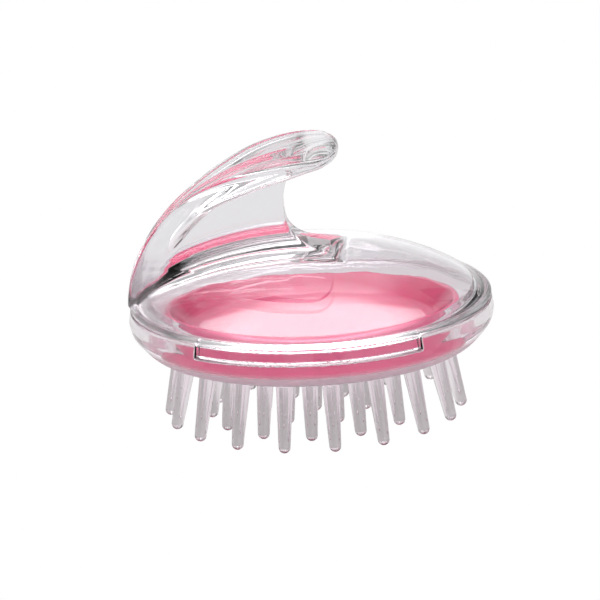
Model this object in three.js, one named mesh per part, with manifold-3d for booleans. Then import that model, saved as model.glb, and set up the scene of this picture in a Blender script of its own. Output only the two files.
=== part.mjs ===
// Scalp massager brush: a clear base cup with tapered teeth underneath, a pink dish standing
// inside it, and a clear domed cover that carries a hooked finger handle and clips on top.
// Millimetres, +Z up. The origin is the centre of the circle of tooth tips, on the plane that
// the tips stand on. The handle lies in the XZ plane: its root is at -X, its tip points to +X.

import * as THREE from 'three';
import { mergeVertices } from 'three/addons/utils/BufferGeometryUtils.js';
import Module from 'manifold-3d';

const wasm = await Module();
wasm.setup();

// ---------- driving dimensions ----------
const GAP = 0.3; // clearance between neighbouring pieces
const AROUND = 60; // facets round the large turned pieces

const BODY_RADIUS = 40; // widest circle of the base
const TOOTH_LENGTH = 15.8; // tip plane to the underside of the base
const SEAM_Z = 25.1; // joint line between the base and the cover
const TOP_Z = 60.5; // crown of the handle

const base = {
  underZ: TOOTH_LENGTH,
  floor: 1.5,
  cornerRadius: 5, // round between the underside and the wall
  footInset: 0.4, // of the wall's foot, from the widest circle
  widestZ: 21.8,
  rimRadius: 39.6,
  innerRadius: 37.4,
  innerCorner: 4.5,
};

const dome = {
  crownZ: 38.2,
  edgeZ: 26.4,
  edgeRadius: 38,
  fullness: 1.6, // 1 would be an ellipse, 2 a parabola
  wall: 2,
  crownWall: 2.7,
  innerEdge: 34.6, // where the inner surface meets the spigot
  beadHeight: 0.8,
  beadRadius: 39.5,
  shoulderRadius: 38.8,
  spigotOuter: base.innerRadius - GAP,
  spigotInner: 35.4,
  spigotZ: 24.4,
};

// The cover's one tongue drops into a notch at the front of the base.
const tab = { bottomZ: 22.4, halfAngle: 38, notchMargin: 0.5, skin: 0.05, overlap: 0.1, depth: 1 };

const dish = {
  footZ: base.underZ + base.floor + GAP,
  floorZ: 20.3,
  floorThickness: 1.4,
  floorSag: 0.5, // the floor is dished towards the axis
  floorRadius: 26,
  floorBlend: 1.2, // half-width of the bend between the floor and the sloping side
  rimZ: 24.4,
  rimInner: 30.6,
  outerRadius: 32,
  footInner: 30.4,
  corner: 0.5,
};

// Handle: the blade's upper side follows a quarter of a slightly flattened ellipse, from its
// foot at -X over the crown to the tip, and its thickness hangs below that curve.
const blade = {
  centreX: 3,
  centreZ: 26,
  reachX: 43,
  reachZ: TOP_Z - 26,
  power: 1.88, // 2 would be a true ellipse
  startAngle: 0,
  endAngle: 98, // degrees, 90 at the crown
  roughWidth: 40, // of the block that the blade is cut from, wider than the blade
  roughLow: 10,
  roughHeight: 60,
};
// The blade at stations along X: half-width and thickness, from the root to the round tip.
const bladeStations = [
  [-40, 3.1, 5.5], [-36, 3.2, 5.5], [-30, 4.9, 5.3], [-25, 6.1, 5], [-21, 8.1, 5], [-17.4, 9.9, 5],
  [-14, 11.7, 4.7], [-10.2, 13, 4.3], [-3.3, 13.9, 3.6], [0.3, 13.6, 2.9], [3.5, 12.4, 2.4],
  [5.6, 10, 2], [7, 6.4, 1.7], [7.5, 3.2, 1.6], [7.65, 0, 1.6],
];
// The web's front edge, in X and Z: down from the blade, hollow at the waist, out to its foot.
const web = {
  thickness: 5.5,
  underBlade: 80, // angle along the blade where the web ends
  top: [-3.6, 54.5],
  bow: [-5.2, 51],
  waist: [-5, 47.5],
  hollow: [[-4.8, 43.5], [-2.6, 40.6]],
  foot: [1.4, 38],
  lowX: -34,
  lowZ: 20,
};

const tooth = { rootRadius: 2, tipRadius: 1.3, flat: 0.07, facets: 10 };
// Each ring: radius of its tips, number of teeth, angle of the first one and outward lean.
const rings = [
  { name: 'outer', radius: 31.8, count: 18, start: 8.7, lean: 12.5 },
  { name: 'middle', radius: 22.8, count: 13, start: -1.2, lean: 8 },
  { name: 'inner', radius: 11, count: 6, start: 28, lean: 4 },
  { name: 'centre', radius: 0, count: 1, start: 0, lean: 0 },
];

// ---------- materials ----------
const clearPlastic = { color: 0xe6e6ea, roughness: 0.06, metalness: 0, transparent: true, opacity: 0.35 };
const pinkPlastic = { color: 0xe07a98, roughness: 0.2, metalness: 0 };
const toothPlastic = { color: 0xdcd6dc, roughness: 0.15, metalness: 0, transparent: true, opacity: 0.5 };

// ---------- helpers ----------
const radians = THREE.MathUtils.degToRad;

function toSolid(geometry) {
  const bare = geometry.index ? geometry.toNonIndexed() : geometry.clone();
  bare.deleteAttribute('normal');
  bare.deleteAttribute('uv');
  const welded = mergeVertices(bare, 1e-4);
  return new wasm.Manifold(new wasm.Mesh({
    numProp: 3,
    vertProperties: new Float32Array(welded.attributes.position.array),
    triVerts: new Uint32Array(welded.index.array),
  }));
}

function toGeometry(solid) {
  const mesh = solid.getMesh();
  const geometry = new THREE.BufferGeometry();
  geometry.setAttribute('position', new THREE.BufferAttribute(mesh.vertProperties, 3));
  geometry.setIndex(new THREE.BufferAttribute(mesh.triVerts, 1));
  geometry.computeVertexNormals();
  return geometry;
}

// A profile of [radius, z] points turned about Z. It starts and ends on the axis, or closes
// on itself, and runs anticlockwise as seen with the radius to the right and Z up.
function turned(profile, facets = AROUND) {
  const points = profile.map(([radius, z]) => new THREE.Vector2(radius, z));
  return new THREE.LatheGeometry(points, facets).rotateX(Math.PI / 2);
}

// A ring profile, closed on itself, turned about Z.
function turnedRing(profile, facets = AROUND) {
  return turned([...profile, profile[0]], facets);
}

// An outline drawn in X and Z, extruded equally to both sides of the XZ plane.
function sideExtrusion(shape, width, curveSegments) {
  const options = { depth: width, bevelEnabled: false, curveSegments };
  return new THREE.ExtrudeGeometry(shape, options).rotateX(Math.PI / 2).translate(0, width / 2, 0);
}

// Points on an arc of a circle in a turned profile, angles in degrees from the radius axis.
function profileArc(centreRadius, centreZ, size, from, to, steps) {
  return Array.from({ length: steps + 1 }, (_, i) => {
    const angle = radians(from + ((to - from) * i) / steps);
    return [centreRadius + size * Math.cos(angle), centreZ + size * Math.sin(angle)];
  });
}

// A wedge of a ring, centred on -Y, tall enough to cut the notch or keep the tongue.
function wedge(halfAngle, lowZ, highZ) {
  const inside = 30;
  const outside = 50;
  const from = radians(-90 - halfAngle);
  const to = radians(-90 + halfAngle);
  const shape = new THREE.Shape();
  shape.absarc(0, 0, outside, from, to, false);
  shape.absarc(0, 0, inside, to, from, true);
  const options = { depth: highZ - lowZ, bevelEnabled: false, curveSegments: 24 };
  return toSolid(new THREE.ExtrudeGeometry(shape, options).translate(0, 0, lowZ));
}

// A point of the dome's outer curve, moved inwards by a depth that changes smoothly to another
// one at the crown. The turn is a quarter circle at the edge and 0 on the axis.
function domePoint(turn, depth, crownDepth) {
  const rise = dome.crownZ - dome.edgeZ;
  const climb = Math.cos(turn);
  const alongRadius = dome.edgeRadius * Math.cos(turn);
  const alongZ = -rise * dome.fullness * climb ** (dome.fullness - 1) * Math.sin(turn);
  const size = Math.hypot(alongRadius, alongZ);
  const inset = depth + (crownDepth - depth) * climb ** 2;
  return [
    dome.edgeRadius * Math.sin(turn) + (inset * alongZ) / size,
    dome.edgeZ + rise * climb ** dome.fullness - (inset * alongRadius) / size,
  ];
}

// The dome's curve from an edge radius in to the axis.
function domeProfile(depth, crownDepth, edgeRadius, steps) {
  const nudge = 0.002;
  let edgeTurn = Math.PI / 2 - nudge;
  while (domePoint(edgeTurn, depth, crownDepth)[0] > edgeRadius) edgeTurn -= nudge;
  return Array.from({ length: steps + 1 }, (_, i) => (
    domePoint(edgeTurn * (1 - i / steps), depth, crownDepth)
  ));
}

// A point on the blade's upper curve, in X and Z, for an angle from the root.
function bladePoint(degrees) {
  const turn = radians(degrees);
  const power = 2 / blade.power;
  const cosine = Math.sign(Math.cos(turn)) * Math.abs(Math.cos(turn)) ** power;
  const sine = Math.sign(Math.sin(turn)) * Math.abs(Math.sin(turn)) ** power;
  return [blade.centreX - blade.reachX * cosine, blade.centreZ + blade.reachZ * sine];
}

// A value of the blade at an X between stations: column 1 is half-width, 2 is thickness.
function bladeValue(x, column) {
  const next = bladeStations.findIndex((station) => station[0] > x);
  if (next === -1) return bladeStations[bladeStations.length - 1][column];
  if (next === 0) return bladeStations[0][column];
  const [before, after] = [bladeStations[next - 1], bladeStations[next]];
  const share = (x - before[0]) / (after[0] - before[0]);
  return before[column] + (after[column] - before[column]) * share;
}

// The blade's curve, sunk below its upper side by a share of the thickness and a distance.
function bladeLine(share, below, fromDegrees, toDegrees, steps) {
  return Array.from({ length: steps + 1 }, (_, i) => {
    const degrees = fromDegrees + ((toDegrees - fromDegrees) * i) / steps;
    const nearby = 0.5;
    const [x, z] = bladePoint(degrees);
    const [lowX, lowZ] = bladePoint(degrees - nearby);
    const [highX, highZ] = bladePoint(degrees + nearby);
    const size = Math.hypot(highX - lowX, highZ - lowZ);
    const depth = share * bladeValue(x, 2) + below;
    return new THREE.Vector2(
      x + (depth * (highZ - lowZ)) / size,
      z - (depth * (highX - lowX)) / size,
    );
  });
}

function piece(name, geometry, look) {
  const mesh = new THREE.Mesh(geometry, new THREE.MeshStandardMaterial(look));
  mesh.name = name;
  return mesh;
}

// ---------- base cup ----------
function baseShell() {
  const floorZ = base.underZ + base.floor;
  const corner = base.innerCorner;
  const footRadius = BODY_RADIUS - base.footInset - base.cornerRadius;
  const profile = [
    [0, base.underZ],
    ...profileArc(footRadius, base.underZ + base.cornerRadius, base.cornerRadius, -90, 0, 5),
    [BODY_RADIUS, base.widestZ],
    [base.rimRadius, SEAM_Z - GAP / 2],
    [base.innerRadius, SEAM_Z - GAP / 2],
    ...profileArc(base.innerRadius - corner, floorZ + corner, corner, 0, -90, 5),
    [0, floorZ],
  ];
  const notchZ = tab.bottomZ - GAP;
  const notch = wedge(tab.halfAngle + tab.notchMargin, notchZ, SEAM_Z + 1);
  const solid = toSolid(turned(profile)).subtract(notch);
  return piece('base_shell', toGeometry(solid), clearPlastic);
}

// ---------- pink dish ----------
function insertDish() {
  const { corner, outerRadius, footZ, rimZ, floorZ } = dish;
  const undersideZ = floorZ - dish.floorThickness;
  const profile = [
    [0, undersideZ - dish.floorSag],
    [dish.footInner, undersideZ],
    [dish.footInner, footZ],
    [outerRadius - corner, footZ],
    [outerRadius, footZ + corner],
    [outerRadius, rimZ - corner],
    [outerRadius - corner, rimZ],
    [dish.rimInner, rimZ],
    [dish.floorRadius + dish.floorBlend, floorZ + dish.floorBlend / 2],
    [dish.floorRadius - dish.floorBlend, floorZ],
    [0, floorZ - dish.floorSag],
  ];
  return piece('insert_dish', turned(profile), pinkPlastic);
}

// ---------- cover ----------
function coverDome() {
  const underZ = SEAM_Z + GAP / 2;
  const shell = toSolid(turned([
    ...domeProfile(dome.wall, dome.crownWall, dome.innerEdge, 10).reverse(),
    [dome.spigotInner, dome.spigotZ],
    [dome.spigotOuter, dome.spigotZ],
    [dome.spigotOuter, underZ],
    [base.rimRadius, underZ],
    [dome.beadRadius, underZ + dome.beadHeight],
    [dome.shoulderRadius, dome.edgeZ],
    ...domeProfile(0, 0, dome.edgeRadius, 12),
  ]));
  const tongueInner = dome.spigotOuter - tab.overlap;
  const tongueRing = toSolid(turnedRing([
    [base.innerRadius, tab.bottomZ],
    [BODY_RADIUS - tab.skin, tab.bottomZ],
    [base.rimRadius, underZ + tab.overlap],
    [tongueInner, underZ + tab.overlap],
    [tongueInner, underZ - tab.depth],
  ]));
  const tongue = tongueRing.intersect(wedge(tab.halfAngle, tab.bottomZ - 1, SEAM_Z + 2));
  return piece('cover_dome', toGeometry(shell.add(tongue)), clearPlastic);
}

// Everything the handle must stay off: the cover's outer surface plus the gap.
function coverEnvelope() {
  return toSolid(turned([
    [0, 0],
    [BODY_RADIUS + 3, 0],
    [BODY_RADIUS + 3, dome.edgeZ],
    [dome.shoulderRadius, dome.edgeZ + GAP],
    ...domeProfile(-GAP, -GAP, dome.edgeRadius, 12),
  ]));
}

// ---------- handle ----------
function handleBlade() {
  const { startAngle, endAngle } = blade;
  const upper = bladeLine(0, 0, startAngle, endAngle, 20);
  const lower = bladeLine(1, 0, startAngle, endAngle, 20).reverse();
  const side = toSolid(sideExtrusion(new THREE.Shape([...upper, ...lower]), blade.roughWidth, 1));

  const near = bladeStations.map(([x, half]) => new THREE.Vector2(x, -half));
  const beyondRoot = -BODY_RADIUS - 1;
  near.unshift(new THREE.Vector2(beyondRoot, near[0].y));
  const far = near.slice(0, -1).reverse().map((point) => new THREE.Vector2(point.x, -point.y));
  const options = { depth: blade.roughHeight, bevelEnabled: false };
  const plan = new THREE.ExtrudeGeometry(new THREE.Shape([...near, ...far]), options)
    .translate(0, 0, blade.roughLow);

  const solid = side.intersect(toSolid(plan)).subtract(coverEnvelope());
  return piece('handle_blade', toGeometry(solid), clearPlastic);
}

function handleWeb() {
  const [waistX, waistZ] = web.waist;
  const [footX, footZ] = web.foot;
  const shape = new THREE.Shape(bladeLine(1, GAP, blade.startAngle, web.underBlade, 18));
  shape.bezierCurveTo(...web.top, ...web.bow, waistX, waistZ);
  shape.bezierCurveTo(...web.hollow[0], ...web.hollow[1], footX, footZ);
  shape.lineTo(footX, web.lowZ);
  shape.lineTo(web.lowX, web.lowZ);
  const solid = toSolid(sideExtrusion(shape, web.thickness, 6)).subtract(coverEnvelope());
  return piece('handle_web', toGeometry(solid), clearPlastic);
}

// ---------- teeth ----------
// One tooth of a ring, standing at -Y, leaning outwards from root to tip, and cut level at
// the tip plane and just below the base.
function toothSolid(ring) {
  const { rootRadius, tipRadius, flat, facets } = tooth;
  const length = base.underZ + 3;
  const slope = (rootRadius - tipRadius) / (base.underZ - tipRadius);
  const tip = profileArc(0, 0, tipRadius, -90, 0, 3);
  tip[0][0] = 0;
  const shape = [...tip, [tipRadius + slope * length, length], [0, length]];
  const geometry = turned(shape, facets)
    .rotateX(radians(ring.lean))
    .translate(0, -ring.radius, tipRadius - flat);
  const slab = new THREE.BoxGeometry(20, 20, base.underZ - GAP)
    .translate(0, -ring.radius, (base.underZ - GAP) / 2);
  return toGeometry(toSolid(geometry).intersect(toSolid(slab)));
}

function ringOfTeeth(ring) {
  const group = new THREE.Group();
  const geometry = toothSolid(ring);
  for (let i = 0; i < ring.count; i += 1) {
    const suffix = ring.count > 1 ? `_${String(i + 1).padStart(2, '0')}` : '';
    const mesh = piece(`tooth_${ring.name}${suffix}`, geometry, toothPlastic);
    mesh.rotation.z = radians(ring.start + (360 * i) / ring.count);
    group.add(mesh);
  }
  return group;
}

// ---------- assembly ----------
const brush = new THREE.Group();

const baseBody = new THREE.Group();
baseBody.add(baseShell(), insertDish(), ...rings.map(ringOfTeeth));

const coverBody = new THREE.Group();
coverBody.add(coverDome(), handleWeb(), handleBlade());

brush.add(baseBody, coverBody);

export default brush;
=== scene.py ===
"""Looks of the scalp massager brush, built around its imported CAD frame.

Every length in the shape code is in millimetres; meshes are scaled to metres as they are made.
The clear cover and the clear base are each one moulding on the real brush, so each is one
mesh here. Both are drawn as distance fields, so that the handle grows out of the dome and the
teeth out of the base through soft fillets, and then turned into quads.
"""
import math

import bpy
import numpy as np
from mathutils import Matrix, Vector


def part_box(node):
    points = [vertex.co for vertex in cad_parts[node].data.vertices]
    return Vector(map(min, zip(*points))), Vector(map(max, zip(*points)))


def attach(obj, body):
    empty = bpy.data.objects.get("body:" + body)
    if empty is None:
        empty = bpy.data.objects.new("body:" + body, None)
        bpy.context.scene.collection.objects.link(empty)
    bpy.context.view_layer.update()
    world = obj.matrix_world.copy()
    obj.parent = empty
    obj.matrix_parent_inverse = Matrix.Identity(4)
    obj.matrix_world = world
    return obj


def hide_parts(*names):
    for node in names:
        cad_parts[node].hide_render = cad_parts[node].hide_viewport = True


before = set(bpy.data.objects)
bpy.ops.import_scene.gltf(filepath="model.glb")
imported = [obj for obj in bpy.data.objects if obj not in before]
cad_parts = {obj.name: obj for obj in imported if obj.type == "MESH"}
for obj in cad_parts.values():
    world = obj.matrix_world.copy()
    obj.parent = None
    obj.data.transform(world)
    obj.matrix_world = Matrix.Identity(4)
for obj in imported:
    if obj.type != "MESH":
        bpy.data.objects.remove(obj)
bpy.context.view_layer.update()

MM = 0.001


# ---------- driving sizes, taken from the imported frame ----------
def node_box(name):
    """A CAD node's corners in millimetres."""
    low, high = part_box(name)
    return np.array(low) / MM, np.array(high) / MM


base_low, base_high = node_box("base_shell")
dome_low, dome_high = node_box("cover_dome")
dish_low, dish_high = node_box("insert_dish")
blade_high = node_box("handle_blade")[1]

BODY_R = base_high[0]
UNDER_Z = base_low[2]
GAP = 0.3
SEAM_Z = base_high[2] + GAP / 2
TAB_Z = dome_low[2]
CROWN_Z = dome_high[2]
TOP_Z = blade_high[2]

# Outlines of turned solids are carried this far past the axis, so that no edge lies on it.
PAST_AXIS = 4.0

# Base: a thin cup with one notch at the front for the cover's tab.
RIM_R = BODY_R - 0.4
FLOOR = 1.5
INNER_R = BODY_R - 2.6
TAB_ANGLE = math.radians(38)
# The cup's outline outside and underneath: inset from the widest radius, height above the
# underside, and radius of the corner.
CUP_CORNERS = ((4.4, 0.0, 5.0), (0.5, 4.4, 4.0), (0.0, 6.4, 2.5))
CUP_INNER_CORNER = 4.5

# Cover: the dome's edge, its wall at the edge and at the crown, and the spigot ring that
# centres it in the base. SPIGOT_CORNER is radius, height and rounding where ring meets dome.
EDGE_R, EDGE_Z = 38.0, 26.4
WALL, CROWN_WALL = 2.0, 2.7
DOME_INNER_R = 34.6
DOME_FULLNESS = 1.6
SPIGOT_Z = 24.4
SPIGOT_INNER_R = 35.4
SPIGOT_CORNER = (35.2, 25.6, 0.8)

# Blade: a quarter of a flattened ellipse about (BLADE_X, BLADE_Z), turned through in degrees.
BLADE_X, BLADE_Z = 3.0, 26.0
BLADE_REACH = np.array([43.0, TOP_Z - BLADE_Z])
BLADE_POWER = 1.88
BLADE_START, BLADE_END = -14, 99
# Half-width and half-thickness of the blade against X, from the narrow root to the round tip.
BLADE_SHAPE = (
    (-40.0, 3.1, 2.75), (-36.0, 3.2, 2.75), (-30.0, 4.9, 2.65), (-25.0, 6.1, 2.5),
    (-21.0, 8.1, 2.5), (-17.4, 9.9, 2.5), (-14.0, 11.7, 2.35), (-10.2, 13.0, 2.15),
    (-3.3, 13.9, 1.8), (0.3, 13.6, 1.45), (3.5, 12.4, 1.2), (5.6, 10.0, 1.0),
    (7.0, 6.4, 0.85), (7.5, 3.2, 0.8), (7.65, 0.0, 0.8),
)
# The blade's plan starts this far before the root, so that the root end is square.
BLADE_LEAD = 6
# Largest rounding of the blade's long edges; where it is thin, they are nearly full rounds.
BLADE_ROUND = 1.5

# Web: inside the blade, down its hollow front edge, to the dome. Points are X and Z.
WEB_HALF = 2.75
WEB_INSET = (2.6, 2.2)
WEB_START, WEB_END = -10, 81
WEB_WAIST = (-5.0, 47.5)
WEB_UPPER = ((-3.6, 54.5), (-5.2, 51.0))
WEB_LOWER = ((-4.9, 44.0), (-3.8, 41.2))
WEB_FOOT = (-1.8, 38.0)
WEB_CLOSING = ((1.6, 34.6), (1.6, 30.0), (-36.0, 22.0))

# Fillet between the handle and the dome, against height above the dome's edge. It dies away
# at the rim, where the blade's back is flush with the body.
FILLET_RISE = (0.0, 4.0, 8.0)
FILLET = (0.4, 3.0, 7.0)

# Teeth: radius at the root and tip, depth sunk in the floor, and the fillet around the root.
TOOTH_ROOT, TOOTH_TIP = 2.0, 1.3
TOOTH_SINK = 0.6
TOOTH_FILLET = 1.4
# Radius of the tips, number of teeth, angle of the first from -Y, outward lean: in degrees.
TOOTH_RINGS = ((31.8, 18, 8.7, 12.5), (22.8, 13, -1.2, 8.0), (11.0, 6, 28.0, 4.0), (0.0, 1, 0.0, 0.0))

# Dish: height of its floor; corners of its inside as radius, height above that floor and
# rounding; how far the underside is below it, at the foot and on the axis; widths of foot and rim.
DISH_FLOOR_Z = 20.3
DISH_FLOOR = ((26.6, 0.7, 1.6), (24.6, 0.25, 3.0), (16.0, -0.45, 40.0), (0.0, -1.0, 0.0))
DISH_UNDER, DISH_UNDER_MIDDLE = 1.6, 1.9
DISH_FOOT, DISH_RIM = 2.0, 1.5

# Cell size of the grids that turn the distance fields into quads, and the room around them.
GRID_STEP = 0.4
GRID_ROOM = 1


# ---------- distance fields ----------
def soft_min(a, b, k):
    """Union of two solids with a fillet of about k between them."""
    h = np.maximum(k - np.abs(a - b), 0) / k
    return np.minimum(a, b) - h * h * k / 4


def soft_max(a, b, k):
    """Intersection of two solids with its edge rounded over about k."""
    return -soft_min(-a, -b, k)


def rounded(corners):
    """A closed outline through (u, v, radius) corners, with a finely stepped arc at each corner."""
    points = []
    for i, (u, v, radius) in enumerate(corners):
        here = np.array([u, v], float)
        back = np.array(corners[i - 1][:2], float) - here
        ahead = np.array(corners[(i + 1) % len(corners)][:2], float) - here
        long_back, long_ahead = np.linalg.norm(back), np.linalg.norm(ahead)
        back, ahead = back / long_back, ahead / long_ahead
        half = math.acos(np.clip(back @ ahead, -1, 1)) / 2
        if radius <= 0 or half > math.radians(88):
            points.append(tuple(here))
            continue
        reach = min(radius / math.tan(half), 0.48 * long_back, 0.48 * long_ahead)
        radius = reach * math.tan(half)
        middle = here + (back + ahead) / np.linalg.norm(back + ahead) * radius / math.sin(half)
        first = here + back * reach - middle
        last = here + ahead * reach - middle
        steps = 6 + math.ceil(radius * (math.pi - 2 * half) / 0.2)
        for t in np.linspace(0, 1, steps + 1):
            swing = first * (1 - t) + last * t
            points.append(tuple(middle + swing / np.linalg.norm(swing) * radius))
    return np.array(points)


def outline_distance(u, v, outline):
    """Signed distance in a plane from points (u, v) to a closed outline, negative inside."""
    nearest = np.full(u.shape, np.inf)
    inside = np.zeros(u.shape, bool)
    for (au, av), (bu, bv) in zip(outline, np.roll(outline, -1, axis=0)):
        du, dv = bu - au, bv - av
        length = du * du + dv * dv
        if length < 1e-12:
            continue
        t = np.clip(((u - au) * du + (v - av) * dv) / length, 0, 1)
        nearest = np.minimum(nearest, (u - au - t * du) ** 2 + (v - av - t * dv) ** 2)
        crosses = (av <= v) != (bv <= v)
        at = au + (v - av) * du / (dv if dv else 1)
        inside ^= crosses & (u < at)
    return np.where(inside, -1, 1) * np.sqrt(nearest)


class Table:
    """A function of two lengths, sampled once on a grid and read back as a smooth spline."""

    def __init__(self, low, high, step, function):
        self.low, self.step = np.array(low, float), step
        us = np.arange(low[0], high[0] + step, step)
        vs = np.arange(low[1], high[1] + step, step)
        self.values = np.asarray(function(*np.meshgrid(us, vs, indexing="ij")), np.float32)

    def __call__(self, u, v):
        shape = self.values.shape
        fu = np.clip((u - self.low[0]) / self.step, 1, shape[0] - 2.001)
        fv = np.clip((v - self.low[1]) / self.step, 1, shape[1] - 2.001)
        iu, iv = np.rint(fu).astype(np.int32), np.rint(fv).astype(np.int32)
        across = self.weights(fu - iu)
        down = self.weights(fv - iv)
        total = 0
        for i in range(3):
            for j in range(3):
                total = total + across[i] * down[j] * self.values[iu + i - 1, iv + j - 1]
        return total

    @staticmethod
    def weights(t):
        """Share of three neighbours in a quadratic spline, t from -0.5 to 0.5 of a step."""
        return (0.5 - t) ** 2 / 2, 0.75 - t * t, (0.5 + t) ** 2 / 2


def turned_table(outline, step=0.12):
    """Distance to a solid turned about Z, from its outline in radius and height."""
    low = (-1, outline[:, 1].min() - 6)
    high = (BODY_R + 6, outline[:, 1].max() + 6)
    return Table(low, high, step, lambda u, v: outline_distance(u, v, outline))


# ---------- quads from a distance field ----------
CORNERS = np.array([[i >> 2 & 1, i >> 1 & 1, i & 1] for i in range(8)])
EDGES = [
    (a, b) for a in range(8) for b in range(a + 1, 8) if np.abs(CORNERS[a] - CORNERS[b]).sum() == 1
]


def gradient(distance, points, reach=0.05):
    """Direction in which the distance grows fastest, at each point."""
    out = np.empty_like(points)
    for axis in range(3):
        ahead, behind = points.copy(), points.copy()
        ahead[:, axis] += reach
        behind[:, axis] -= reach
        out[:, axis] = (distance(*ahead.T) - distance(*behind.T)) / (2 * reach)
    return out


def settle(distance, points, limit, rounds=2):
    """Moves points onto the surface along the gradient."""
    for _ in range(rounds):
        slope = gradient(distance, points)
        size = np.maximum((slope**2).sum(1), 0.05)
        move = (distance(*points.T) / size)[:, None] * slope
        length = np.linalg.norm(move, axis=1, keepdims=True)
        points = points - move * np.minimum(1, limit / np.maximum(length, 1e-9))
    return points


def sampled(distance, low, count, step):
    """The distance on a grid: coarsely far from the surface, exactly near it."""
    block = 4
    sides = [low[i] + step * (block * (np.arange(-(-count[i] // block)) + 0.5) - 0.5) for i in range(3)]
    field = distance(*np.meshgrid(*sides, indexing="ij"))
    for axis in range(3):
        field = np.repeat(field, block, axis=axis)
    field = field[:count[0], :count[1], :count[2]].copy()
    near = np.argwhere(np.abs(field) < (block + 1.5) * step)
    field[tuple(near.T)] = distance(*(low + step * near).T)
    return field


def surface_net(distance, low, high, step, relax=3):
    """Vertices, quads and normals of the surface where distance(x, y, z) is zero."""
    low, high = np.array(low, float), np.array(high, float)
    count = np.ceil((high - low) / step).astype(int) + 1
    field = sampled(distance, low, count, step)
    inside = field < 0
    cells = count - 1

    def corner(values, offset):
        i, j, k = offset
        return values[i:i + cells[0], j:j + cells[1], k:k + cells[2]]

    filled = sum(corner(inside, c).astype(np.int8) for c in CORNERS)
    active = np.argwhere((filled > 0) & (filled < 8))
    number = np.full(cells, -1, np.int32)
    number[tuple(active.T)] = np.arange(len(active))

    values = np.stack([field[tuple((active + c).T)] for c in CORNERS], axis=1)
    total = np.zeros((len(active), 3))
    hits = np.zeros(len(active))
    for a, b in EDGES:
        va, vb = values[:, a], values[:, b]
        cut = (va < 0) != (vb < 0)
        t = np.where(cut, va / np.where(cut, va - vb, 1), 0)[:, None]
        total += np.where(cut[:, None], CORNERS[a] + t * (CORNERS[b] - CORNERS[a]), 0)
        hits += cut
    points = low + step * (active + total / hits[:, None])

    quads = []
    for axis in range(3):
        side, other = [i for i in range(3) if i != axis]
        ahead = [slice(None)] * 3
        ahead[axis] = slice(1, None)
        behind = [slice(None)] * 3
        behind[axis] = slice(None, -1)
        change = inside[tuple(behind)].astype(np.int8) - inside[tuple(ahead)]
        for sign in (1, -1):
            edge = np.argwhere(change == sign)
            edge = edge[(edge[:, side] > 0) & (edge[:, other] > 0)]
            step_side, step_other = np.eye(3, dtype=int)[side], np.eye(3, dtype=int)[other]
            ring = [edge, edge - step_side, edge - step_side - step_other, edge - step_other]
            quad = np.stack([number[tuple(r.T)] for r in ring], axis=1)
            flip = (sign > 0) == (axis == 1)
            quads.append(quad[:, ::-1] if flip else quad)
    quads = np.concatenate(quads)

    points = settle(distance, points, step)
    ends = np.concatenate([quads[:, [i, (i + 1) % 4]] for i in range(4)])
    ends = np.concatenate([ends, ends[:, ::-1]])
    degree = np.bincount(ends[:, 0], minlength=len(points))[:, None]
    for _ in range(relax):
        mean = np.stack(
            [np.bincount(ends[:, 0], points[ends[:, 1], i], len(points)) for i in range(3)], axis=1
        ) / np.maximum(degree, 1)
        points = settle(distance, points * 0.4 + mean * 0.6, step)
    points = settle(distance, points, step)
    normals = gradient(distance, points)
    normals /= np.linalg.norm(normals, axis=1, keepdims=True)
    return points, quads, normals


# ---------- clear cover: dome, rim, tab, web and blade ----------
def dome_curve(inset, crown_inset, edge, steps=150):
    """The dome in radius and height, moved inwards, by more at the crown, out to an edge radius."""
    start = -math.asin(PAST_AXIS / EDGE_R)
    turn = np.linspace(start, math.pi / 2, steps * 4)
    rise = CROWN_Z - EDGE_Z
    curve = np.stack([
        EDGE_R * np.sin(turn),
        EDGE_Z + rise * np.maximum(np.cos(turn), 0) ** DOME_FULLNESS,
    ], axis=1)
    along = np.gradient(curve, axis=0)
    along /= np.linalg.norm(along, axis=1, keepdims=True)
    depth = inset + (crown_inset - inset) * np.maximum(np.cos(turn), 0) ** 2
    curve = curve + depth[:, None] * np.stack([along[:, 1], -along[:, 0]], axis=1)
    kept = curve[curve[:, 0] <= edge]
    lengths = np.concatenate([[0], np.cumsum(np.linalg.norm(np.diff(kept, axis=0), axis=1))])
    even = np.linspace(0, lengths[-1], steps)
    return np.stack([np.interp(even, lengths, kept[:, i]) for i in range(2)], axis=1)


def blade_curve(reach, start, end, steps):
    """The blade's long curve in X and Z: a quarter of a slightly flattened ellipse and a bit more."""
    turn = np.radians(np.linspace(start, end, steps + 1))
    power = 2 / BLADE_POWER
    cosine = np.sign(np.cos(turn)) * np.abs(np.cos(turn)) ** power
    sine = np.sign(np.sin(turn)) * np.abs(np.sin(turn)) ** power
    return np.stack([BLADE_X - reach[0] * cosine, BLADE_Z + reach[1] * sine], axis=1)


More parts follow.
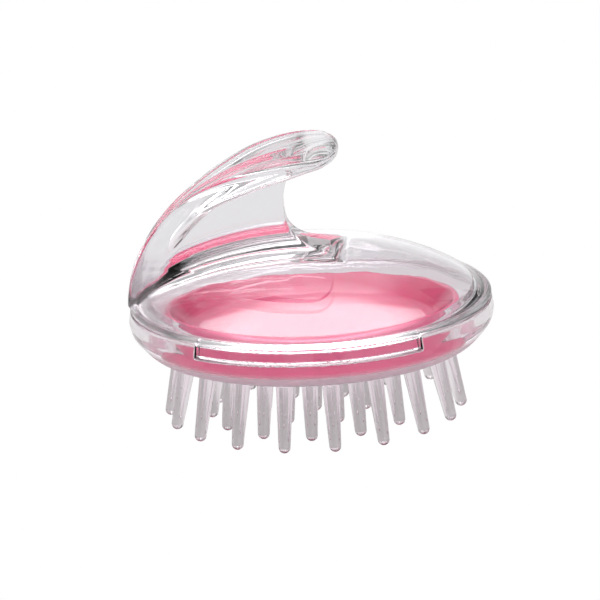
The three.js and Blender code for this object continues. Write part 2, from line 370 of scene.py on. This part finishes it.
class Blade:
    """The hooked blade: a strip under one long curve, with its own width and thickness along it."""

    def __init__(self):
        self.line = blade_curve(BLADE_REACH, BLADE_START, BLADE_END, 320)
        self.pieces = np.diff(self.line, axis=0)
        self.lengths = np.linalg.norm(self.pieces, axis=1)
        self.along_line = np.concatenate([[0], np.cumsum(self.lengths)])
        area = ((-50, 16), (20, 70))
        self.along = Table(*area, 0.2, lambda u, v: self.nearest(u, v)[0])
        self.across = Table(*area, 0.2, lambda u, v: self.nearest(u, v)[1])

        rows = np.array(BLADE_SHAPE)
        rising = self.line[:, 1] >= BLADE_Z
        along_rows = np.interp(rows[:, 0], self.line[rising, 0], self.along_line[rising])
        self.stations = np.linspace(along_rows[0], along_rows[-1], 500)
        width = smooth_curve(np.stack([along_rows, rows[:, 1]], axis=1), self.stations)
        self.half = smooth_curve(np.stack([along_rows, rows[:, 2]], axis=1), self.stations)
        plan = np.concatenate([
            [(-BLADE_LEAD, rows[0, 1])],
            np.stack([self.stations, width], axis=1),
            np.stack([self.stations, -width], axis=1)[::-1],
            [(-BLADE_LEAD, -rows[0, 1])],
        ])
        plan_low, plan_high = (-4, -1), (self.along_line[-1] + 6, 20)
        self.plan = Table(plan_low, plan_high, 0.15, lambda u, v: outline_distance(u, v, plan))

    def nearest(self, u, v):
        """Length along the curve of the nearest point, and signed distance above the curve."""
        best = np.full(u.shape, np.inf)
        along = np.zeros(u.shape)
        across = np.zeros(u.shape)
        last = len(self.pieces) - 1
        for i, (start, piece) in enumerate(zip(self.line[:-1], self.pieces)):
            t = ((u - start[0]) * piece[0] + (v - start[1]) * piece[1]) / self.lengths[i] ** 2
            held = np.maximum(t, 0) if i == last else np.clip(t, 0, 1)
            du = u - start[0] - held * piece[0]
            dv = v - start[1] - held * piece[1]
            far = du * du + dv * dv
            closer = far < best
            best = np.where(closer, far, best)
            along = np.where(closer, self.along_line[i] + held * self.lengths[i], along)
            side = np.sign(piece[0] * dv - piece[1] * du)
            across = np.where(closer, side * np.sqrt(far), across)
        return along, across

    def __call__(self, x, y, z):
        along, across = self.along(x, z), self.across(x, z)
        half = np.interp(along, self.stations, self.half)
        edge = np.minimum(half * 0.9, BLADE_ROUND)
        flat = np.abs(across + half) - (half - edge)
        side = self.plan(along, np.abs(y)) + edge
        outside = np.sqrt(np.maximum(flat, 0) ** 2 + np.maximum(side, 0) ** 2)
        return outside + np.minimum(np.maximum(flat, side), 0) - edge


def cover_field():
    """Distance to the cover: one moulding, with fillets where the handle meets the dome."""
    outer = [(r, z, 0) for r, z in dome_curve(0, 0, EDGE_R - 0.15)]
    inner = [(r, z, 0) for r, z in dome_curve(WALL, CROWN_WALL, DOME_INNER_R)[::-1]]
    under = SEAM_Z + GAP / 2
    rim = [
        (EDGE_R + 0.1, EDGE_Z + 0.1, 0.3),
        (EDGE_R + 0.8, EDGE_Z + 0.25, 0.5),
        (RIM_R - 0.05, EDGE_Z - 0.4, 0.5),
        (RIM_R, under, 0.3),
        (INNER_R - GAP, under, 0.3),
        (INNER_R - GAP, SPIGOT_Z, 0.25),
        (SPIGOT_INNER_R, SPIGOT_Z, 0.25),
        SPIGOT_CORNER,
    ]
    shell = turned_table(rounded(outer + rim + inner))
    tab_ring = turned_table(rounded([
        (INNER_R + 0.2, TAB_Z, 0.3),
        (BODY_R - 0.1, TAB_Z, 0.35),
        (RIM_R, under + 0.6, 0.2),
        (INNER_R - 0.3, under + 0.6, 0.2),
        (INNER_R - 0.3, under - 0.6, 0.2),
    ]))
    skin_outline = np.concatenate([
        dome_curve(WALL * 0.6, WALL * 0.6, EDGE_R + 1),
        [(EDGE_R + 4, EDGE_Z - 6), (-PAST_AXIS, EDGE_Z - 6)],
    ])
    core = turned_table(skin_outline, step=0.3)
    web_outline = web_points()
    web_table = Table((-46, 20), (14, 64), 0.15, lambda u, v: outline_distance(u, v, web_outline))
    blade_distance = Blade()

    def distance(x, y, z):
        radius = np.sqrt(x * x + y * y)
        body = shell(radius, z)
        angle = np.arctan2(np.abs(x), -y)
        tab = soft_max(tab_ring(radius, z), radius * (angle - TAB_ANGLE), 0.4)
        body = soft_min(body, tab, 0.3)

        web = soft_max(web_table(x, z), np.abs(y) - WEB_HALF, 0.8)
        handle = soft_min(blade_distance(x, y, z), web, 1.4)
        # The handle stops under the dome's outer skin, so the hollow below stays clear.
        handle = np.maximum(handle, -core(radius, z))
        handle = np.maximum(handle, EDGE_Z - 0.6 - z)
        fillet = np.interp(z, [EDGE_Z + rise for rise in FILLET_RISE], FILLET)
        return soft_min(body, handle, fillet)

    return distance


def smooth_curve(points, xs):
    """A smooth curve y(x) through points, read at xs (monotone cubic)."""
    x, y = points[:, 0], points[:, 1]
    slope = np.diff(y) / np.diff(x)
    tangent = np.concatenate([[slope[0]], (slope[:-1] + slope[1:]) / 2, [slope[-1]]])
    tangent[1:-1] = np.where(slope[:-1] * slope[1:] <= 0, 0, tangent[1:-1])
    i = np.clip(np.searchsorted(x, xs) - 1, 0, len(x) - 2)
    gap = x[i + 1] - x[i]
    t = (xs - x[i]) / gap
    return (
        (2 * t**3 - 3 * t**2 + 1) * y[i] + (t**3 - 2 * t**2 + t) * gap * tangent[i]
        + (3 * t**2 - 2 * t**3) * y[i + 1] + (t**3 - t**2) * gap * tangent[i + 1]
    )


def bezier(points, steps):
    """Points on a cubic curve with four control points, ends included."""
    a, b, c, d = (np.array(p, float) for p in points)
    t = np.linspace(0, 1, steps + 1)[:, None]
    return a * (1 - t) ** 3 + 3 * b * t * (1 - t) ** 2 + 3 * c * t**2 * (1 - t) + d * t**3


def web_points():
    """The web's outline in X and Z: inside the blade, down its hollow front edge, to the dome."""
    inside_blade = blade_curve(BLADE_REACH - WEB_INSET, WEB_START, WEB_END, 60)
    upper = bezier([inside_blade[-1], *WEB_UPPER, WEB_WAIST], 24)
    lower = bezier([WEB_WAIST, *WEB_LOWER, WEB_FOOT], 28)
    return np.concatenate([inside_blade, upper[1:], lower[1:], WEB_CLOSING])


# ---------- clear base: cup and teeth ----------
def tooth_distance(out, side, z, radius, lean):
    """Distance to one tapered round-ended tooth; out is measured away from the axis."""
    tilt = math.radians(lean)
    height = UNDER_Z - TOOTH_TIP + TOOTH_SINK
    tip = (radius, TOOTH_TIP)
    root = (radius - height * math.tan(tilt), TOOTH_TIP + height)
    axis = np.array([root[0] - tip[0], root[1] - tip[1]])
    length = np.linalg.norm(axis)
    axis = axis / length
    along = (out - tip[0]) * axis[0] + (z - tip[1]) * axis[1]
    away = np.sqrt(
        np.maximum((out - tip[0]) ** 2 + (z - tip[1]) ** 2 - along**2, 0) + side * side
    )
    slope = (TOOTH_TIP - TOOTH_ROOT) / length
    cosine = math.sqrt(1 - slope * slope)
    shift = along * cosine - away * slope
    cone = away * cosine + along * slope - TOOTH_TIP
    ball = np.sqrt(away**2 + along**2) - TOOTH_TIP
    stub = np.sqrt(away**2 + (along - length) ** 2) - TOOTH_ROOT
    return np.where(shift < 0, ball, np.where(shift > length * cosine, stub, cone))


def base_field():
    """Distance to the base: the cup, its notch for the tab, and the rings of teeth."""
    floor_z = UNDER_Z + FLOOR
    cup = turned_table(rounded([
        (-PAST_AXIS, UNDER_Z, 0),
        *((BODY_R - inset, UNDER_Z + rise, radius) for inset, rise, radius in CUP_CORNERS),
        (RIM_R, SEAM_Z - GAP / 2, 0.35),
        (INNER_R, SEAM_Z - GAP / 2, 0.35),
        (INNER_R, floor_z, CUP_INNER_CORNER),
        (-PAST_AXIS, floor_z, 0),
    ]))
    notch_angle = TAB_ANGLE + GAP / BODY_R

    def distance(x, y, z):
        radius = np.sqrt(x * x + y * y)
        turn = np.arctan2(np.abs(x), -y)
        notch = soft_max(TAB_Z - GAP - z, radius * (turn - notch_angle), 0.3)
        body = soft_max(cup(radius, z), -notch, 0.3)
        angle = np.arctan2(x, -y)
        teeth = None
        for tip_radius, count, start, lean in TOOTH_RINGS:
            pitch = 2 * math.pi / count
            swing = angle - math.radians(start)
            swing = swing - np.round(swing / pitch) * pitch
            if count > 1:
                out, side = radius * np.cos(swing), radius * np.sin(swing)
            else:
                out, side = x, y
            tooth = tooth_distance(out, side, z, tip_radius, lean)
            teeth = tooth if teeth is None else np.minimum(teeth, tooth)
        teeth = np.maximum(teeth, z - floor_z + 0.2)
        return soft_min(body, teeth, TOOTH_FILLET)

    return distance


# ---------- pieces ----------
def new_piece(name, points, faces, normals, material, body, replaced):
    """A smooth mesh object in metres that rides on a body and stands for CAD nodes."""
    mesh = bpy.data.meshes.new(name)
    mesh.from_pydata([tuple(p) for p in np.asarray(points) * MM], [], [tuple(f) for f in faces])
    mesh.validate()
    mesh.polygons.foreach_set("use_smooth", [True] * len(mesh.polygons))
    mesh.materials.append(material)
    mesh.update()
    if normals is not None:
        mesh.normals_split_custom_set_from_vertices(normals.tolist())
    piece = bpy.data.objects.new(name, mesh)
    bpy.context.scene.collection.objects.link(piece)
    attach(piece, body)
    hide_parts(*replaced)


def turned_mesh(outline, segments=256):
    """Vertices and quads of a closed outline turned about Z; its ends lie on the axis."""
    outline = np.asarray(outline)
    angles = np.linspace(0, 2 * math.pi, segments, endpoint=False)
    ring = outline[1:-1]
    points = [
        (r * math.cos(a), r * math.sin(a), z) for a in angles for r, z in ring
    ]
    count = len(ring)
    faces = []
    bottom, top = len(points), len(points) + 1
    points += [(0, 0, outline[0][1]), (0, 0, outline[-1][1])]
    for i in range(segments):
        here, there = i * count, (i + 1) % segments * count
        faces.append((bottom, there, here))
        faces.append((top, here + count - 1, there + count - 1))
        for j in range(count - 1):
            faces.append((here + j, there + j, there + j + 1, here + j + 1))
    return points, faces


def dish_outline():
    """The dish in radius and height: foot, outer wall, rim, sloped inner wall, dished floor."""
    foot_z, rim_z = dish_low[2], dish_high[2]
    outer = dish_high[0]
    return rounded([
        (0, DISH_FLOOR_Z - DISH_UNDER_MIDDLE, 0),
        (outer - DISH_FOOT - 0.2, DISH_FLOOR_Z - DISH_UNDER, 0.5),
        (outer - DISH_FOOT, foot_z, 0.4),
        (outer, foot_z, 0.5),
        (outer, rim_z, 0.9),
        (outer - DISH_RIM, rim_z, 1.0),
        *((radius, DISH_FLOOR_Z + rise, corner) for radius, rise, corner in DISH_FLOOR),
    ])


# ---------- materials ----------
# Tints of the clear mouldings, of the clouded root of the handle, and a painted pink glow on the foot
# of the base, which stands in for light from the pink dish scattered in its wall.
COVER_TINT, ROOT_TINT = (0.99, 0.975, 1.0, 1), (0.97, 0.94, 0.98, 1)
BASE_TINT, FOOT_PAINTED_GLOW = (1.0, 0.945, 0.975, 1), (1.0, 0.76, 0.86, 1)
ABSORBED_TINT = (0.5, 0.5, 0.52, 1)
RIPPLE_SCALE, RIPPLE_DEPTH = 90.0, 0.0004
HAZE_SCALE = 240.0
HAZE_RANGE = (0.35, 0.8)
POLISH_RANGE = (0.005, 0.03)
# The masked places: where each starts and is complete, in millimetres.
FOOT_REACH = (BODY_R - 7, BODY_R - 5.5)
FOOT_TOP = (UNDER_Z + 4.5, UNDER_Z + 1.5)
FOOT_BOTTOM = (UNDER_Z - 0.5, UNDER_Z + 0.2)
ROOT_X = (-28, -34)
ROOT_Z = (39, 36)
# Screen colours of the dish, the share of the painted paler pink on its outer wall, which stands in
# for light on that wall, and where that starts.
DISH_DEEP, DISH_BRIGHT, DISH_WALL_PAINTED_LIGHT = (220, 52, 108), (228, 64, 120), (255, 108, 158)
DISH_WALL_LIGHT_SHARE = 0.8
DISH_WALL_DEPTH = (0.8, 0.2)


def srgb(r, g, b):
    """Linear colour from 0-255 screen values."""
    def linear(c):
        c = c / 255
        return c / 12.92 if c <= 0.04045 else ((c + 0.055) / 1.055) ** 2.4
    return (linear(r), linear(g), linear(b), 1)


def node(tree, kind, **values):
    """A shader node, with attributes and sockets set by name."""
    made = tree.nodes.new(kind)
    for name, value in values.items():
        if name in made.inputs:
            made.inputs[name].default_value = value
        else:
            setattr(made, name, value)
    return made


def math_node(tree, operation, *inputs):
    """A math node fed by sockets or plain numbers."""
    made = node(tree, "ShaderNodeMath", operation=operation)
    for i, value in enumerate(inputs):
        if isinstance(value, (int, float)):
            made.inputs[i].default_value = value
        else:
            tree.links.new(value, made.inputs[i])
    return made.outputs[0]


def span(tree, value, start, end):
    """0 at start and 1 at end, softly, held beyond them."""
    made = node(tree, "ShaderNodeMapRange", interpolation_type="SMOOTHSTEP")
    made.inputs["From Min"].default_value = start
    made.inputs["From Max"].default_value = end
    tree.links.new(value, made.inputs["Value"])
    return made.outputs["Result"]


def reach_from_axis(tree, x, y):
    """Distance from the Z axis, from the X and Y sockets."""
    across = math_node(tree, "MULTIPLY", x, x)
    return math_node(tree, "SQRT", math_node(tree, "MULTIPLY_ADD", y, y, across))


def span_mm(tree, value, ends):
    """The same for a length in metres, between two ends in millimetres."""
    return span(tree, value, ends[0] * MM, ends[1] * MM)


def foot_haze_and_glow_mask(tree, x, y, z):
    """1 on the lower outer wall of the base, which is softly matt and carries a painted pink glow of
    light from the dish.
    """
    wide = span_mm(tree, reach_from_axis(tree, x, y), FOOT_REACH)
    below = span_mm(tree, z, FOOT_TOP)
    above = span_mm(tree, z, FOOT_BOTTOM)
    return math_node(tree, "MULTIPLY", math_node(tree, "MULTIPLY", wide, below), above)


def root_mask(tree, x, y, z):
    """1 at the root of the handle, where the thick solid corner is a little clouded."""
    near = span_mm(tree, x, ROOT_X)
    return math_node(tree, "MULTIPLY", near, span_mm(tree, z, ROOT_Z))


def clear_plastic(name, tint, wave, absorb, mask, frost, cloud_and_glow_tint, milky):
    """Polished clear moulding with a faint ripple and haze, and a softly frosted place on it.

    wave is the ripple's strength and absorb the density of the tint inside. In the place that the
    mask picks, roughness grows by frost, the tint turns to the masked tint, and milky is the share of
    light that no longer passes through. On the base the masked tint is a painted pink glow, which
    stands in for light from the pink dish scattered in the wall; on the cover it is the clouded root.
    """
    material = bpy.data.materials.new(name)
    material.use_nodes = True
    tree = material.node_tree
    shader = tree.nodes["Principled BSDF"]
    shader.inputs["IOR"].default_value = 1.5
    place = node(tree, "ShaderNodeTexCoord")
    ripple = node(tree, "ShaderNodeTexNoise", Scale=RIPPLE_SCALE, Detail=1.5, Roughness=0.4)
    tree.links.new(place.outputs["Object"], ripple.inputs["Vector"])
    bump = node(tree, "ShaderNodeBump", Strength=wave, Distance=RIPPLE_DEPTH)
    tree.links.new(ripple.outputs["Fac"], bump.inputs["Height"])
    tree.links.new(bump.outputs["Normal"], shader.inputs["Normal"])
    haze = node(tree, "ShaderNodeTexNoise", Scale=HAZE_SCALE, Detail=3.0, Roughness=0.6)
    tree.links.new(place.outputs["Object"], haze.inputs["Vector"])
    polish = node(tree, "ShaderNodeMapRange")
    polish.inputs["From Min"].default_value, polish.inputs["From Max"].default_value = HAZE_RANGE
    polish.inputs["To Min"].default_value, polish.inputs["To Max"].default_value = POLISH_RANGE
    tree.links.new(haze.outputs["Fac"], polish.inputs["Value"])
    split = node(tree, "ShaderNodeSeparateXYZ")
    tree.links.new(place.outputs["Object"], split.inputs["Vector"])
    matt = mask(tree, *(split.outputs[axis] for axis in "XYZ"))
    roughness = math_node(tree, "MULTIPLY_ADD", matt, frost, polish.outputs["Result"])
    tree.links.new(roughness, shader.inputs["Roughness"])
    blend = node(tree, "ShaderNodeMix", data_type="RGBA")
    tree.links.new(matt, blend.inputs["Factor"])
    blend.inputs[6].default_value = tint
    blend.inputs[7].default_value = cloud_and_glow_tint
    tree.links.new(blend.outputs[2], shader.inputs["Base Color"])
    shader.inputs["Transmission Weight"].default_value = 1.0
    if milky:
        clear = math_node(tree, "MULTIPLY_ADD", matt, -milky, 1.0)
        tree.links.new(clear, shader.inputs["Transmission Weight"])
    volume = node(tree, "ShaderNodeVolumeAbsorption", Color=ABSORBED_TINT, Density=absorb)
    tree.links.new(volume.outputs["Volume"], tree.nodes["Material Output"].inputs["Volume"])
    return material


def pink_plastic():
    """Dyed pink plastic of the dish: glossy and faintly cloudy, with a painted paler pink on the outer
    wall that stands in for light on it.
    """
    material = bpy.data.materials.new("dish_pink")
    material.use_nodes = True
    tree = material.node_tree
    shader = tree.nodes["Principled BSDF"]
    place = node(tree, "ShaderNodeTexCoord")
    cloud = node(tree, "ShaderNodeTexNoise", Scale=60.0, Detail=3.0, Roughness=0.5)
    tree.links.new(place.outputs["Object"], cloud.inputs["Vector"])
    ramp = node(tree, "ShaderNodeValToRGB")
    ramp.color_ramp.elements[0].position = 0.3
    ramp.color_ramp.elements[0].color = srgb(*DISH_DEEP)
    ramp.color_ramp.elements[1].position = 0.7
    ramp.color_ramp.elements[1].color = srgb(*DISH_BRIGHT)
    tree.links.new(cloud.outputs["Fac"], ramp.inputs["Fac"])
    split = node(tree, "ShaderNodeSeparateXYZ")
    tree.links.new(place.outputs["Object"], split.inputs["Vector"])
    reach = reach_from_axis(tree, split.outputs["X"], split.outputs["Y"])
    # The outer wall's paler pink is painted light, not a second dye.
    wall = span_mm(tree, reach, [dish_high[0] - depth for depth in DISH_WALL_DEPTH])
    blend = node(tree, "ShaderNodeMix", data_type="RGBA")
    tree.links.new(math_node(tree, "MULTIPLY", wall, DISH_WALL_LIGHT_SHARE), blend.inputs["Factor"])
    tree.links.new(ramp.outputs["Color"], blend.inputs[6])
    blend.inputs[7].default_value = srgb(*DISH_WALL_PAINTED_LIGHT)
    tree.links.new(blend.outputs[2], shader.inputs["Base Color"])
    shader.inputs["Roughness"].default_value = 0.1
    shader.inputs["Coat Weight"].default_value = 0.15
    shader.inputs["Coat Roughness"].default_value = 0.05
    return material


def surface_between(field, bottom, top):
    """The surface of a field that is as wide as the body, between two heights."""
    wide = BODY_R + GRID_ROOM
    low = (-wide, -wide, bottom - GRID_ROOM)
    high = (wide, wide, top + GRID_ROOM)
    return surface_net(field, low, high, GRID_STEP)


def build_cover(material):
    """The clear cover with its handle."""
    points, quads, normals = surface_between(cover_field(), TAB_Z, TOP_Z)
    nodes = ("cover_dome", "handle_web", "handle_blade")
    new_piece("clear_cover", points, quads, normals, material, "cover", nodes)


def build_base(material):
    """The clear cup with all its teeth."""
    points, quads, normals = surface_between(base_field(), 0, SEAM_Z)
    nodes = ["base_shell", *(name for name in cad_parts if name.startswith("tooth_"))]
    new_piece("clear_base", points, quads, normals, material, "base", nodes)


def build_dish(material):
    """The pink dish, which stands in the base."""
    points, faces = turned_mesh(dish_outline())
    new_piece("pink_dish", points, faces, None, material, "base", ["insert_dish"])


# ---------- studio ----------
CAMERA_ELEVATION = math.radians(16.5)
CAMERA_AZIMUTH = math.radians(2.0)
CAMERA_ROLL = math.radians(2.8)
# Width of what the camera sees, and the point it looks at: its height on the axis, and how far
# the view is then shifted to the left and down.
FIELD_WIDTH = 131.291
AIM_Z = 28.0
AIM_LEFT, AIM_DOWN = 2.2757, 2.6696
LENS = 800.0
SENSOR = 36.0


def camera():
    """A long lens at the angle the brush is seen from, tipped a little."""
    data = bpy.data.cameras.new("camera")
    data.lens = LENS
    data.sensor_width = SENSOR
    made = bpy.data.objects.new("camera", data)
    bpy.context.scene.collection.objects.link(made)
    distance = FIELD_WIDTH * MM * LENS / SENSOR
    level = math.cos(CAMERA_ELEVATION)
    back = Vector((
        level * math.sin(CAMERA_AZIMUTH), -level * math.cos(CAMERA_AZIMUTH), math.sin(CAMERA_ELEVATION)
    ))
    roll = Matrix.Rotation(CAMERA_ROLL, 3, "Z").inverted()
    turn = (-back).to_track_quat("-Z", "Y").to_matrix() @ roll
    right, up = turn.col[0], turn.col[1]
    aim = Vector((0, 0, AIM_Z * MM)) - right * (AIM_LEFT * MM) - up * (AIM_DOWN * MM)
    made.matrix_world = Matrix.Translation(aim + back * distance) @ turn.to_4x4()
    data.clip_start, data.clip_end = 0.05, 20
    bpy.context.scene.camera = made


FLOOR_ALBEDO, FLOOR_GLOW = 0.2, 0.4


def floor():
    """A pale lit table, like a light tent's base: pure white where it is seen directly."""
    bpy.ops.mesh.primitive_plane_add(size=6, location=(0, 0, 0))
    plane = bpy.context.object
    plane.name = "floor"
    material = bpy.data.materials.new("floor")
    material.use_nodes = True
    tree = material.node_tree
    shader = tree.nodes["Principled BSDF"]
    shader.inputs["Base Color"].default_value = (FLOOR_ALBEDO, FLOOR_ALBEDO, FLOOR_ALBEDO, 1)
    shader.inputs["Roughness"].default_value = 0.9
    shader.inputs["Specular IOR Level"].default_value = 0.0
    shader.inputs["Emission Color"].default_value = (1, 1, 1, 1)
    shader.inputs["Emission Strength"].default_value = FLOOR_GLOW
    white = node(tree, "ShaderNodeEmission", Strength=1.0)
    path = node(tree, "ShaderNodeLightPath")
    mix = node(tree, "ShaderNodeMixShader")
    tree.links.new(path.outputs["Is Camera Ray"], mix.inputs[0])
    tree.links.new(shader.outputs["BSDF"], mix.inputs[1])
    tree.links.new(white.outputs["Emission"], mix.inputs[2])
    tree.links.new(mix.outputs["Shader"], tree.nodes["Material Output"].inputs["Surface"])
    plane.data.materials.append(material)


def ramp(tree, source, stops):
    """A colour ramp through (position, grey) stops, read from a 0 to 1 value."""
    made = node(tree, "ShaderNodeValToRGB")
    elements = made.color_ramp.elements
    elements[0].position, elements[1].position = stops[0][0], stops[-1][0]
    for position, _ in stops[1:-1]:
        elements.new(position)
    for element, (_, grey) in zip(elements, stops):
        element.color = (grey, grey, grey, 1)
    tree.links.new(source, made.inputs["Fac"])
    return made.outputs["Color"]


# Brightness of the tent against height: 0 straight down, 0.5 level, 1 straight up.
SKY = (
    (0.0, 0.8), (0.50, 0.8), (0.54, 0.75), (0.59, 0.55),
    (0.66, 0.48), (0.76, 0.5), (0.84, 0.6), (1.0, 0.6),
)
# The bright top: its strength, and the heights between which it comes in.
TOP_LIGHT = 3.6
TOP_RISE = ((0.76, 0.0), (0.84, 1.0))
FRONT_LIGHT = 0.7
BACK_LIGHT, BACK_FOCUS = 0.2, 60.0
# An upright strip light behind the brush: direction, half-width and soft edge in degrees.
STRIP_AT, STRIP_HALF, STRIP_EDGE = 92.0, 1.5, 1.5
STRIP_LIGHT = 0.7
STRIP_TOP = (0.68, 0.62)
# Dark upright slits: direction and half-width in degrees, and the height they reach.
SLIT_DARKNESS = 0.75
SLIT_TOP = 0.72
SLITS = ((4, 9), (32, 9), (60, 5), (124, 8), (150, 6), (205, 9), (240, 12), (282, 10))


def studio():
    """A white tent with a bright top, and dark slits that draw the edges of clear plastic."""
    scene = bpy.context.scene
    world = bpy.data.worlds.new("studio")
    scene.world = world
    world.use_nodes = True
    tree = world.node_tree
    tree.nodes.clear()
    out = node(tree, "ShaderNodeOutputWorld")
    back = node(tree, "ShaderNodeBackground", Strength=1.0)
    place = node(tree, "ShaderNodeTexCoord")
    split = node(tree, "ShaderNodeSeparateXYZ")
    tree.links.new(place.outputs["Generated"], split.inputs["Vector"])
    x, y, z = (split.outputs[axis] for axis in "XYZ")
    level = math_node(tree, "MULTIPLY_ADD", math_node(tree, "ARCSINE", z), 1 / math.pi, 0.5)
    sky = ramp(tree, level, SKY)
    top = math_node(tree, "MULTIPLY", ramp(tree, level, TOP_RISE), TOP_LIGHT)
    sky = math_node(tree, "ADD", sky, top)
    # A front light behind the camera, and a soft glow straight behind the brush.
    front = math_node(tree, "MAXIMUM", math_node(tree, "MULTIPLY", y, -1.0), 0.0)
    front = math_node(tree, "MULTIPLY_ADD", front, FRONT_LIGHT, 1.0)
    glow = math_node(tree, "POWER", math_node(tree, "MAXIMUM", y, 0.0), BACK_FOCUS)
    glow = math_node(tree, "MULTIPLY", glow, BACK_LIGHT)
    light = math_node(tree, "ADD", math_node(tree, "MULTIPLY", sky, front), glow)
    turn = math_node(tree, "ARCTAN2", y, x)
    off = math_node(tree, "ABSOLUTE", math_node(tree, "SUBTRACT", turn, math.radians(STRIP_AT)))
    strip = span(tree, off, math.radians(STRIP_HALF + STRIP_EDGE), math.radians(STRIP_HALF))
    strip = math_node(tree, "MULTIPLY", strip, span(tree, level, *STRIP_TOP))
    light = math_node(tree, "MULTIPLY_ADD", strip, STRIP_LIGHT, light)
    for angle, width in SLITS:
        away = math_node(tree, "SUBTRACT", turn, math.radians(angle))
        near = math_node(tree, "COSINE", away)
        start = math.cos(math.radians(width))
        mask = math_node(tree, "GREATER_THAN", near, start)
        low = math_node(tree, "LESS_THAN", level, SLIT_TOP)
        dark = math_node(tree, "MULTIPLY", math_node(tree, "MULTIPLY", mask, low), SLIT_DARKNESS)
        light = math_node(tree, "MULTIPLY", light, math_node(tree, "SUBTRACT", 1.0, dark))
    tree.links.new(light, back.inputs["Color"])
    plain = node(tree, "ShaderNodeBackground", Strength=1.0)
    path = node(tree, "ShaderNodeLightPath")
    mix = node(tree, "ShaderNodeMixShader")
    tree.links.new(path.outputs["Is Camera Ray"], mix.inputs[0])
    tree.links.new(back.outputs["Background"], mix.inputs[1])
    tree.links.new(plain.outputs["Background"], mix.inputs[2])
    plain.inputs["Color"].default_value = (1, 1, 1, 1)
    tree.links.new(mix.outputs["Shader"], out.inputs["Surface"])
    scene.view_settings.view_transform = "Standard"
    scene.view_settings.look = "None"
    scene.cycles.max_bounces = 32
    scene.cycles.transmission_bounces = 32
    scene.cycles.glossy_bounces = 8


camera()
cover_clear = clear_plastic(
    "cover_clear", COVER_TINT, wave=0.15, absorb=1.5,
    mask=root_mask, frost=0.24, cloud_and_glow_tint=ROOT_TINT, milky=0.0,
)
# The pink tint on the base's foot is painted light: a glow standing in for light from the pink dish
# scattered in the wall.
base_clear = clear_plastic(
    "base_clear", BASE_TINT, wave=0.2, absorb=3.0,
    mask=foot_haze_and_glow_mask, frost=0.4, cloud_and_glow_tint=FOOT_PAINTED_GLOW, milky=0.45,
)
build_cover(cover_clear)
build_base(base_clear)
build_dish(pink_plastic())
floor()
studio()
